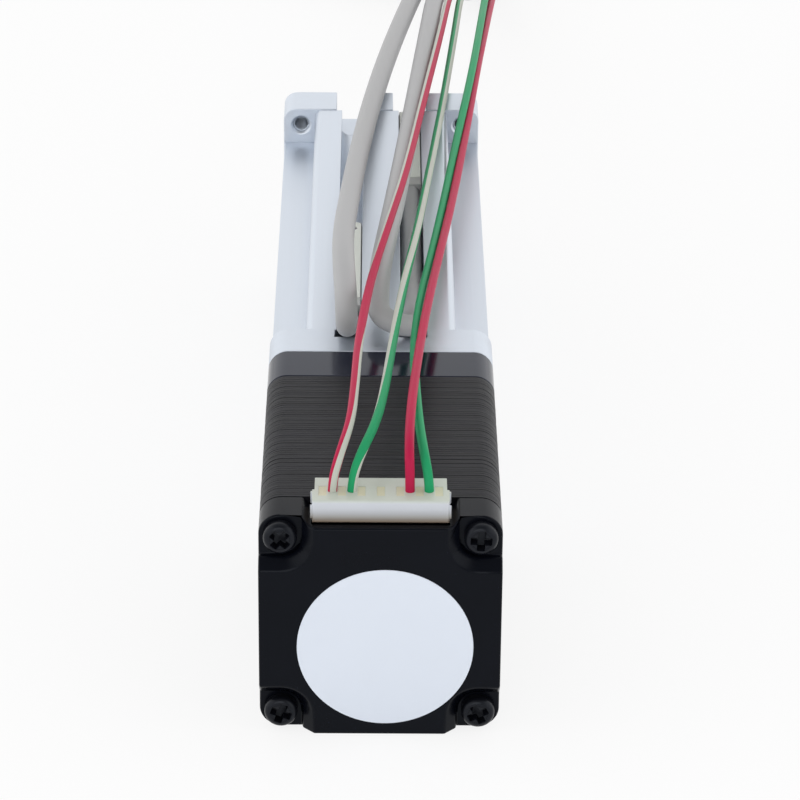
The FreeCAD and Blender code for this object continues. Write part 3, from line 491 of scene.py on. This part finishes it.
# Rear cover: the motor's die-cast back end, blasted and painted black, with a pocket in each
# corner for a screw head and a shallow recess on top for the plug.
painted_black = make_finish("painted_black", (0.0022, 0.0027, 0.0050), 0.12, 0.24, 0.004, ior=1.21,
                            fine_scale=1800.0, gloss_tint=(0.86, 0.92, 1.0))


def stays_sharp(place):
    """The edges in the plug's recess, and the pockets' rims beside it."""
    in_recess = abs(place.x) < 9.3 and place.z > 10.0 and place.y > -131.0
    on_rim = abs(place.x) < 11.4 and place.z > 13.9 and place.y < -129.5
    return in_recess or on_rim


cover = broken_edges("rear_cover", "painted_rear_cover", "housing", width=0.26, segments=3,
                     leave=stays_sharp)
dress(cover, painted_black)

# Tie screws: four long pan-head screws with a cross recess, blackened, that run through the motor
# into the adapter plate and hold it together.
head_radius = 1.95
head_height = 1.5
crown = 0.75
pocket_floor = -129.6
shank_end = -82.0
cross_length, cross_width, cross_depth, cross_taper = 2.7, 1.0, 1.3, 0.82
head_top = pocket_floor - head_height


def block(x0, x1, y0, y1, z0, z1):
    """A cube stretched between two corners."""
    bpy.ops.object.select_all(action="DESELECT")
    middle = ((x0 + x1) / 2 * MM, (y0 + y1) / 2 * MM, (z0 + z1) / 2 * MM)
    bpy.ops.mesh.primitive_cube_add(size=1, location=middle)
    piece = bpy.context.object
    piece.scale = ((x1 - x0) * MM, (y1 - y0) * MM, (z1 - z0) * MM)
    bpy.ops.object.transform_apply(location=True, rotation=True, scale=True)
    return piece


pan_head = round_bar(48, head_radius, head_top, pocket_floor)
pick(pan_head, lambda centre, normal: normal.y < -0.9)
bpy.ops.mesh.bevel(offset=crown * MM, segments=7, affect="EDGES", profile=0.5)
pick(pan_head, lambda centre, normal: normal.y > 0.9)
bpy.ops.mesh.inset(thickness=(head_radius - shank_radius) * MM)
bpy.ops.mesh.extrude_region_move(TRANSFORM_OT_translate={
    "value": (0, (shank_end - pocket_floor) * MM, 0)})
bpy.ops.object.mode_set(mode="OBJECT")
for across, along in ((cross_width, cross_length), (cross_length, cross_width)):
    bar = block(-across / 2, across / 2, head_top - cross_depth, head_top + cross_depth,
                -along / 2, along / 2)
    pick(bar, lambda centre, normal: normal.y > 0.9)
    bpy.ops.transform.resize(value=(cross_taper, 1.0, cross_taper),
                             center_override=(0, pocket_floor * MM, 0))
    bpy.ops.object.mode_set(mode="OBJECT")
    sunk(pan_head, bar)
round_edges(pan_head, 0.07)
pan_screws = set_out(pan_head, "pan_head_screws",
                     ((-corner_hole, corner_hole, 0.72), (corner_hole, corner_hole, 0.06),
                      (-corner_hole, -corner_hole, 0.35), (corner_hole, -corner_hole, 1.1)))
dress(pan_screws, black_oxide)
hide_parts("tie_screws")
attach(pan_screws, "housing")

# Round label: a bare white polyester sticker with a satin face, die-cut to a disc and stuck on
# the middle of the motor's back.
satin_sticker = make_finish("satin_sticker", (0.695, 0.745, 0.83), 0.012, 0.42, 0.004, cloud_scale=60.0)
sticker = broken_edges("round_label", "round_sticker", "housing", width=0.03)
dress(sticker, satin_sticker)

# Header and plug: milky nylon mouldings. The header is fixed in the cover with six tinned pins,
# and the plug sits on it with a crimp contact in each wired way.
plug_base, plug_top = 13.25, 16.15
milky_nylon = make_finish("milky_nylon", (0.62, 0.66, 0.60), 0.03, 0.32, 0.01)
thin_nylon = make_finish("thin_nylon", (0.62, 0.605, 0.43), 0.05, 0.35, 0.01)
for nylon in (milky_nylon, thin_nylon):
    shader = nylon.node_tree.nodes["Principled BSDF"]
    shader.inputs["Subsurface Weight"].default_value = 0.25
    shader.inputs["Subsurface Radius"].default_value = (0.0012, 0.0011, 0.0008)
    shader.inputs["Subsurface Scale"].default_value = 1.0
# The plug's colour holds painted shade: a ramp over its height multiplies the nylon colour. It is dark and
# brownish at the bottom, bluish grey in the middle and lightest at the top.
plug_nylon = make_finish("plug_nylon", (1.0, 1.0, 1.0), 0.04, 0.32, 0.01)
tree = plug_nylon.node_tree
place = tree.nodes.new("ShaderNodeTexCoord")
split = tree.nodes.new("ShaderNodeSeparateXYZ")
tree.links.new(place.outputs["Object"], split.inputs["Vector"])
height = remap(tree, split.outputs["Z"], (plug_base * MM, plug_top * MM), (0.0, 1.0))
painted_shade_ramp = tree.nodes.new("ShaderNodeValToRGB")
painted_shade_ramp.color_ramp.elements[0].color = (0.20, 0.14, 0.105, 1.0)
painted_shade_ramp.color_ramp.elements[1].color = (0.55, 0.59, 0.52, 1.0)
for position, shade in ((0.1, (0.25, 0.20, 0.155)), (0.2, (0.29, 0.265, 0.235)),
                        (0.3, (0.37, 0.365, 0.35)), (0.45, (0.45, 0.465, 0.49)),
                        (0.65, (0.56, 0.585, 0.63)), (0.88, (0.60, 0.63, 0.68))):
    painted_shade_ramp.color_ramp.elements.new(position).color = (*shade, 1.0)
tree.links.new(height, painted_shade_ramp.inputs["Fac"])
blend = tree.nodes.new("ShaderNodeMix")
blend.data_type = "RGBA"
blend.blend_type = "MULTIPLY"
blend.inputs["Factor"].default_value = 1.0
tree.links.new(tree.nodes["tint"].outputs["Color"], blend.inputs[6])
tree.links.new(painted_shade_ramp.outputs["Color"], blend.inputs[7])
tree.links.new(blend.outputs[2], tree.nodes["Principled BSDF"].inputs["Base Color"])
tinned_contact = make_finish("tinned_contact", (0.66, 0.62, 0.54), 0.06, 0.28, 0.004, metallic=1.0)
dress_solids(milky_nylon, "motor_header")
dress_solids(tinned_contact, "header_pins", "plug_contacts")
way_pitch = 2.22
plug_rear, plug_front = -130.15, -125.05
plug_half = 7.84
plug_waist = plug_half - 0.26
shoulder = -127.3
window_half = 0.46
window_rear, window_front = -128.8, -126.5
window_floor = plug_top - 0.06
lip_reach, lip_height = 0.7, 1.4
rib_half = 0.2
rib_width = 0.3
overshoot = 1.0
plug = block(-plug_half, plug_half, plug_rear, plug_front, plug_base, plug_top)
for side in (-1, 1):
    inner, outer = sorted((side * plug_waist, side * (plug_half + overshoot)))
    sunk(plug, block(inner, outer, shoulder, plug_front + overshoot,
                     plug_base - overshoot, plug_top + overshoot))
pick(plug, lambda centre, normal: normal.y < -0.9)
bpy.ops.mesh.bevel(offset=0.3 * MM, segments=4, affect="EDGES", profile=0.5)
bpy.ops.object.mode_set(mode="OBJECT")
cutters = []
for window in range(-3, 4):
    x = window * way_pitch
    cutters.append(block(x - window_half, x + window_half, window_rear, window_front,
                         window_floor, plug_top + overshoot))
sunk(plug, join(cutters, "plug_cutters"))
round_edges(plug, 0.03)
plug_extras = [block(-plug_waist, plug_waist, plug_front - 0.1, plug_front + lip_reach,
                     plug_top - lip_height, plug_top - 0.02)]
for side in (-1, 1):
    x = side * plug_half
    for y, low, high in ((-127.75, plug_base + 1.3, plug_top - 0.1),
                         (-129.9, plug_base + 0.5, plug_top - 0.7)):
        plug_extras.append(block(x - rib_half, x + rib_half, y, y + rib_width, low, high))
for extra in plug_extras:
    round_edges(extra, 0.08)
plug = join([plug] + plug_extras, "wire_plug")
dress(plug, plug_nylon)
plug.data.materials.append(thin_nylon)
pick(plug, lambda centre, normal: normal.z > 0.9 and abs(centre.z - window_floor * MM) < 0.01 * MM)
plug.active_material_index = 1
bpy.ops.object.material_slot_assign()
bpy.ops.object.mode_set(mode="OBJECT")
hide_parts("plug_housing")
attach(plug, "housing")

# Sensors: two moulded magnetic switches, slid into the barrel's slots and held by a set screw.
# Each has a paper strip along its top.
moulded_sensor = make_finish("moulded_sensor", (0.48, 0.48, 0.47), 0.04, 0.45, 0.015)
for side in ("left", "right"):
    sensor = broken_edges(side + "_sensor", side + "_slot_sensor", "housing", width=0.1)
    dress(sensor, moulded_sensor)
cream_paper = make_finish("cream_paper", (0.80, 0.82, 0.76), 0.02, 0.5, 0.006)
dress_solids(cream_paper, "sensor_labels")
set_screw_radius = 0.8
set_screw_length = 2.2
set_screw_middle = 12.45
driver_slot_half = 0.13
driver_slot_floor = 13.1
set_screws = []
for x, y in ((-4.05, -47.8), (4.05, -8.3)):
    bpy.ops.object.select_all(action="DESELECT")
    bpy.ops.mesh.primitive_cylinder_add(vertices=32, radius=set_screw_radius * MM,
                                        depth=set_screw_length * MM,
                                        location=(x * MM, y * MM, set_screw_middle * MM))
    set_screw = bpy.context.object
    bpy.ops.object.transform_apply(location=True, rotation=True, scale=True)
    sunk(set_screw, block(x - overshoot, x + overshoot, y - driver_slot_half, y + driver_slot_half,
                          driver_slot_floor, driver_slot_floor + overshoot))
    round_edges(set_screw, 0.05)
    set_screws.append(set_screw)
slotted_screws = join(set_screws, "slotted_set_screws")
dress(slotted_screws, ground_steel)
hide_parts("sensor_set_screws")
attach(slotted_screws, "housing")

# Sensor cables: soft grey sheathed leads, moulded into the back of each sensor. They fold back
# over the barrel, and their spare length lies in a tied ring beyond the flange.
cable_diameter = 2.8
ring_centre = (4.0, 133.0)


def ring_turns(radius, layers, layer_height, first_z, first_angle, last_angle):
    """Control points of flat turns, each turn climbing to the next layer before it comes round."""
    steps = 16
    climb_from, climb_over = 215, 110
    points = []
    bulge = radius / math.cos(math.pi / steps)
    for index in range(int((last_angle - first_angle) / 360 * steps) + 1):
        angle = first_angle + index * 360 / steps
        turn, share = divmod(angle, 360)
        climb = min(1.0, max(0.0, (share - climb_from) / climb_over))
        climb = climb * climb * (3 - 2 * climb)
        level = min(turn + climb, layers - 1)
        place = math.radians(angle)
        points.append((ring_centre[0] + bulge * math.cos(place), ring_centre[1] + bulge * math.sin(place),
                       first_z + layer_height * max(0.0, level)))
    return points


def cord_curve(name, points, diameter, twist=()):
    """A round cord along one smooth open spline. The twist turns its stripe, in degrees, at each point."""
    curve = bpy.data.curves.new(name, "CURVE")
    curve.dimensions = "3D"
    spline = curve.splines.new("NURBS")
    spline.points.add(len(points) - 1)
    for index, (control, point) in enumerate(zip(spline.points, points)):
        control.co = (*(Vector(point) * MM), 1.0)
        control.radius = diameter / 2 * MM
        control.tilt = math.radians(twist[min(index, len(twist) - 1)]) if twist else 0.0
    spline.order_u = 3
    spline.use_endpoint_u = True
    spline.resolution_u = 8
    curve.bevel_depth = 1.0
    curve.bevel_resolution = 6
    curve.use_fill_caps = True
    cord = bpy.data.objects.new(name, curve)
    bpy.context.scene.collection.objects.link(cord)
    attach(cord, "housing")
    return cord


left_route = [
    (-4.05, -72.0, 11.9), (-4.05, -75.6, 12.1), (-4.15, -79.6, 14.9), (-4.25, -84.4, 16.0),
    (-4.4, -83.6, 20.6), (-4.8, -77.0, 22.3), (-4.9, -67.0, 21.6), (-4.2, -52.0, 19.9),
    (-3.3, -34.0, 17.8), (-1.5, -10.8, 16.3), (1.0, 12.0, 15.4), (4.4, 39.0, 13.4),
    (7.0, 60.0, 10.4), (9.7, 78.0, 3.5), (12.5, 93.0, -4.2), (15.3, 105.5, -9.6),
    (17.2, 116.5, -12.6), (18.0, 127.0, -12.6)]
right_route = [
    (4.05, -32.5, 11.9), (4.05, -45.0, 11.9), (4.0, -56.5, 11.8), (4.05, -66.0, 11.9),
    (4.05, -73.2, 12.7), (4.1, -78.6, 14.5), (4.1, -82.5, 15.6), (1.85, -83.2, 16.2),
    (-0.3, -81.8, 16.8), (-0.4, -77.6, 17.6), (-0.2, -72.0, 18.3), (0.5, -64.5, 18.8),
    (1.5, -54.0, 18.8), (3.2, -31.0, 17.3), (5.2, -3.0, 15.9), (7.2, 25.0, 14.6),
    (8.4, 44.0, 12.8), (10.5, 61.0, 8.9), (13.4, 78.0, 2.6), (16.3, 93.0, -4.2),
    (18.7, 105.5, -9.6), (20.3, 116.5, -12.6), (20.95, 127.0, -12.6)]
grey_sheath = make_finish("grey_sheath", (0.41, 0.41, 0.415), 0.03, 0.5, 0.008)
for side, route, radius, length in (("left", left_route, 14.1, 0.49), ("right", right_route, 16.9, 0.58)):
    turns = ring_turns(radius, layers=3, layer_height=2.8, first_z=-12.6, first_angle=4.0,
                       last_angle=1055.0)
    cable = cord_curve(side + "_cable", route + turns, cable_diameter)
    dress(cable, grey_sheath)
    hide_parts(side + "_sensor_cable")
    if side == "left":
        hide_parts("sensor_cable_coil")

# Motor leads: thin stranded hook-up wire in coloured sheaths, crimped into the plug. Two have a
# white tracer along them. Their spare length lies in one flat turn on the cables' ring.
lead_diameter = 1.1
lead_routes = {
    "red_white": [
        (-5.55, -127.6, 14.95), (-5.55, -127.6, 17.4), (-4.7, -127.0, 20.6), (-3.5, -121.0, 21.7),
        (-3.1, -112.5, 21.9), (-2.7, -98.0, 21.4), (-1.3, -80.0, 21.1), (1.0, -63.0, 21.3),
        (3.3, -44.0, 20.3), (5.7, -15.4, 18.1), (8.8, 18.6, 15.9), (10.6, 44.0, 13.1),
        (13.2, 68.0, 8.6), (15.5, 89.0, 1.8), (17.0, 104.0, -3.2), (17.7, 118.0, -5.05),
        (17.85, 130.0, -5.05)],
    "green_white": [
        (-3.33, -127.6, 14.95), (-3.33, -127.6, 17.4), (-2.4, -126.9, 20.4), (-0.5, -120.2, 21.3),
        (0.5, -111.0, 21.3), (1.5, -96.0, 20.6), (2.9, -79.0, 20.1), (4.5, -62.8, 19.3),
        (6.3, -39.8, 17.5), (8.7, -8.9, 15.5), (11.0, 23.1, 14.1), (12.5, 49.0, 11.3),
        (14.6, 71.0, 6.9), (16.7, 90.0, 0.6), (18.1, 104.0, -3.6), (18.85, 118.0, -5.05),
        (18.95, 130.0, -5.05)],
    "red": [
        (3.33, -127.6, 14.95), (3.33, -127.6, 17.6), (3.2, -126.9, 20.8), (3.3, -120.9, 21.7),
        (3.8, -111.5, 21.6), (4.8, -97.0, 20.8), (5.9, -83.9, 20.0), (7.5, -67.4, 18.8),
        (9.6, -45.5, 17.0), (11.9, -18.5, 15.4), (14.0, 6.7, 14.8), (16.2, 33.0, 12.6),
        (18.0, 58.0, 8.4), (19.5, 79.0, 1.8), (20.5, 94.0, -2.9), (20.9, 106.0, -4.8),
        (21.05, 118.5, -5.05), (21.15, 130.0, -5.05)],
    "green": [
        (5.55, -127.6, 14.95), (5.55, -127.6, 17.2), (5.0, -126.0, 19.8), (4.4, -118.6, 20.2),
        (4.1, -109.0, 20.0), (3.9, -97.0, 19.6), (4.8, -82.5, 19.2), (6.5, -66.5, 18.3),
        (8.5, -45.0, 16.8), (10.4, -23.7, 16.0), (13.3, 4.2, 15.9), (15.3, 31.0, 13.9),
        (17.0, 58.0, 9.7), (18.4, 79.0, 2.9), (19.4, 94.0, -2.0), (19.85, 106.0, -4.4),
        (19.95, 118.5, -5.05), (20.05, 130.0, -5.05)]}
lead_rings = {"red_white": 13.85, "green_white": 14.95, "green": 16.05, "red": 17.15}
sheath_colours = {"red": (0.45, 0.016, 0.066), "green": (0.02, 0.31, 0.125)}
lead_twists = {
    "red_white": (-340, -338, -322, -308, -296, -290, -85, -66, -64, -60, -50),
    "green_white": (-285, -285, -270, -110, -80, -55, -25, 20, 28, 38, 50)}
tracer_white = (0.50, 0.52, 0.46, 1.0)


def combine(tree, operation, *values):
    """One step of arithmetic on other nodes' outputs and plain numbers."""
    step = tree.nodes.new("ShaderNodeMath")
    step.operation = operation
    for socket, value in zip(step.inputs, values):
        if isinstance(value, float):
            socket.default_value = value
        else:
            tree.links.new(value, socket)
    return step.outputs["Value"]


def add_tracer(material, middle, half_width):
    """A white stripe along a lead, at one place round it on the cord's own UV."""
    tree = material.node_tree
    place = tree.nodes.new("ShaderNodeTexCoord")
    split = tree.nodes.new("ShaderNodeSeparateXYZ")
    tree.links.new(place.outputs["UV"], split.inputs["Vector"])
    stripe = combine(tree, "COMPARE", split.outputs["Y"], middle, half_width)
    mix = tree.nodes.new("ShaderNodeMix")
    mix.data_type = "RGBA"
    mix.inputs[7].default_value = tracer_white
    tree.links.new(stripe, mix.inputs["Factor"])
    tree.links.new(tree.nodes["tint"].outputs["Color"], mix.inputs[6])
    tree.links.new(mix.outputs[2], tree.nodes["Principled BSDF"].inputs["Base Color"])


for colour, route in lead_routes.items():
    main_colour = colour.split("_")[0]
    turns = ring_turns(lead_rings[colour], layers=1, layer_height=1.0, first_z=-5.05, first_angle=14.0,
                       last_angle=296.0)
    lead = cord_curve("lead_" + colour + "_wire", route + turns, lead_diameter, lead_twists.get(colour, ()))
    sheath = make_finish(colour + "_lead", sheath_colours[main_colour], 0.05, 0.36, 0.006, ior=1.16)
    if colour in lead_twists:
        add_tracer(sheath, middle=0.15, half_width=0.12)
    dress(lead, sheath)
    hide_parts("lead_" + colour)
    if colour == "red":
        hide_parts("motor_lead_coil")

# Coil tie: a black nylon strap pulled tight round the ring of spare cord, with its locking head
# and its cut tail on the far side.
moulded_black = make_finish("moulded_black", (0.014, 0.014, 0.015), 0.1, 0.4, 0.01)
strap = broken_edges("coil_tie", "cord_tie", "housing", width=0.12)
tie_head = block(2.2, 5.8, 151.6, 153.6, -10.2, -7.2)
tie_tail = block(2.8, 5.2, 152.2, 152.8, -7.4, -3.6)
for extra in (tie_head, tie_tail):
    round_edges(extra, 0.2)
strap = join([strap, tie_head, tie_tail], "cord_tie")
dress(strap, moulded_black)

# Studio: a plain pale floor under the object, soft light from behind and both sides, a fill from
# the front, and a camera at the viewing angle of the product picture.
floor_height = -14.0
floor_glow = 0.84
bpy.ops.object.select_all(action="DESELECT")
bpy.ops.mesh.primitive_plane_add(size=8.0, location=(0, 0, floor_height * MM))
floor = bpy.context.object
floor.name = "studio_floor"
bpy.ops.object.transform_apply(location=True, rotation=True, scale=True)
floor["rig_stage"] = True
floor_paper = bpy.data.materials.new("floor_paper")
floor_paper.use_nodes = True
tree = floor_paper.node_tree
paper = tree.nodes["Principled BSDF"]
paper.inputs["Base Color"].default_value = (0.9, 0.9, 0.9, 1)
paper.inputs["Roughness"].default_value = 0.9
glow = tree.nodes.new("ShaderNodeEmission")
seen = tree.nodes.new("ShaderNodeLightPath")
either = combine(tree, "MAXIMUM", seen.outputs["Is Camera Ray"], seen.outputs["Is Glossy Ray"])
any_ray = combine(tree, "MAXIMUM", either, seen.outputs["Is Transmission Ray"])
blend = tree.nodes.new("ShaderNodeMixShader")
tree.links.new(combine(tree, "MULTIPLY", any_ray, floor_glow), blend.inputs["Fac"])
tree.links.new(paper.outputs["BSDF"], blend.inputs[1])
tree.links.new(glow.outputs["Emission"], blend.inputs[2])
tree.links.new(blend.outputs["Shader"], tree.nodes["Material Output"].inputs["Surface"])
floor.data.materials.append(floor_paper)

world = bpy.data.worlds.new("studio")
bpy.context.scene.world = world
world.use_nodes = True
tree = world.node_tree
direction = tree.nodes.new("ShaderNodeTexCoord")
axes = tree.nodes.new("ShaderNodeSeparateXYZ")
tree.links.new(direction.outputs["Generated"], axes.inputs["Vector"])
behind = remap(tree, axes.outputs["Y"], (-0.8, 0.5), (0.3, 1.16), "SMOOTHSTEP")
sideways = remap(tree, combine(tree, "ABSOLUTE", axes.outputs["X"]), (0.3, 0.75), (0.3, 1.5), "SMOOTHSTEP")
overhead = remap(tree, axes.outputs["Z"], (0.6, 0.95), (1.0, 0.72), "SMOOTHSTEP")
strength = combine(tree, "MULTIPLY", combine(tree, "MAXIMUM", behind, sideways), overhead)
sky = tree.nodes["Background"]
sky.inputs["Color"].default_value = (1, 1, 1, 1)
tree.links.new(strength, sky.inputs["Strength"])

softbox = bpy.data.lights.new("front_softbox", "AREA")
softbox.shape = "RECTANGLE"
softbox.size, softbox.size_y = 0.5, 0.4
softbox.energy = 1.3
fill_light = bpy.data.objects.new("front_softbox", softbox)
fill_light.location = (-0.1, -0.75, 0.28)
object_middle = Vector((0.0, -0.06, 0.0))
fill_light.rotation_euler = (object_middle - fill_light.location).to_track_quat("-Z", "Y").to_euler()
bpy.context.scene.collection.objects.link(fill_light)

lens = bpy.data.cameras.new("product_camera")
lens.lens = 167.136
lens.sensor_width = 36.0
lens.clip_start = 0.01
camera = bpy.data.objects.new("product_camera", lens)
heading, elevation, lean = -0.478, 26.504, 0.5485
stand = Matrix.Translation(Vector((-1.045, -502.557, 214.740)) * MM)
turn = Matrix.Rotation(math.radians(heading), 4, "Z")
tilt = Matrix.Rotation(math.radians(90.0 - elevation), 4, "X")
roll = Matrix.Rotation(math.radians(lean), 4, "Z")
camera.matrix_world = stand @ turn @ tilt @ roll
bpy.context.scene.collection.objects.link(camera)
bpy.context.scene.camera = camera
bpy.context.scene.view_settings.view_transform = "Standard"

low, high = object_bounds()
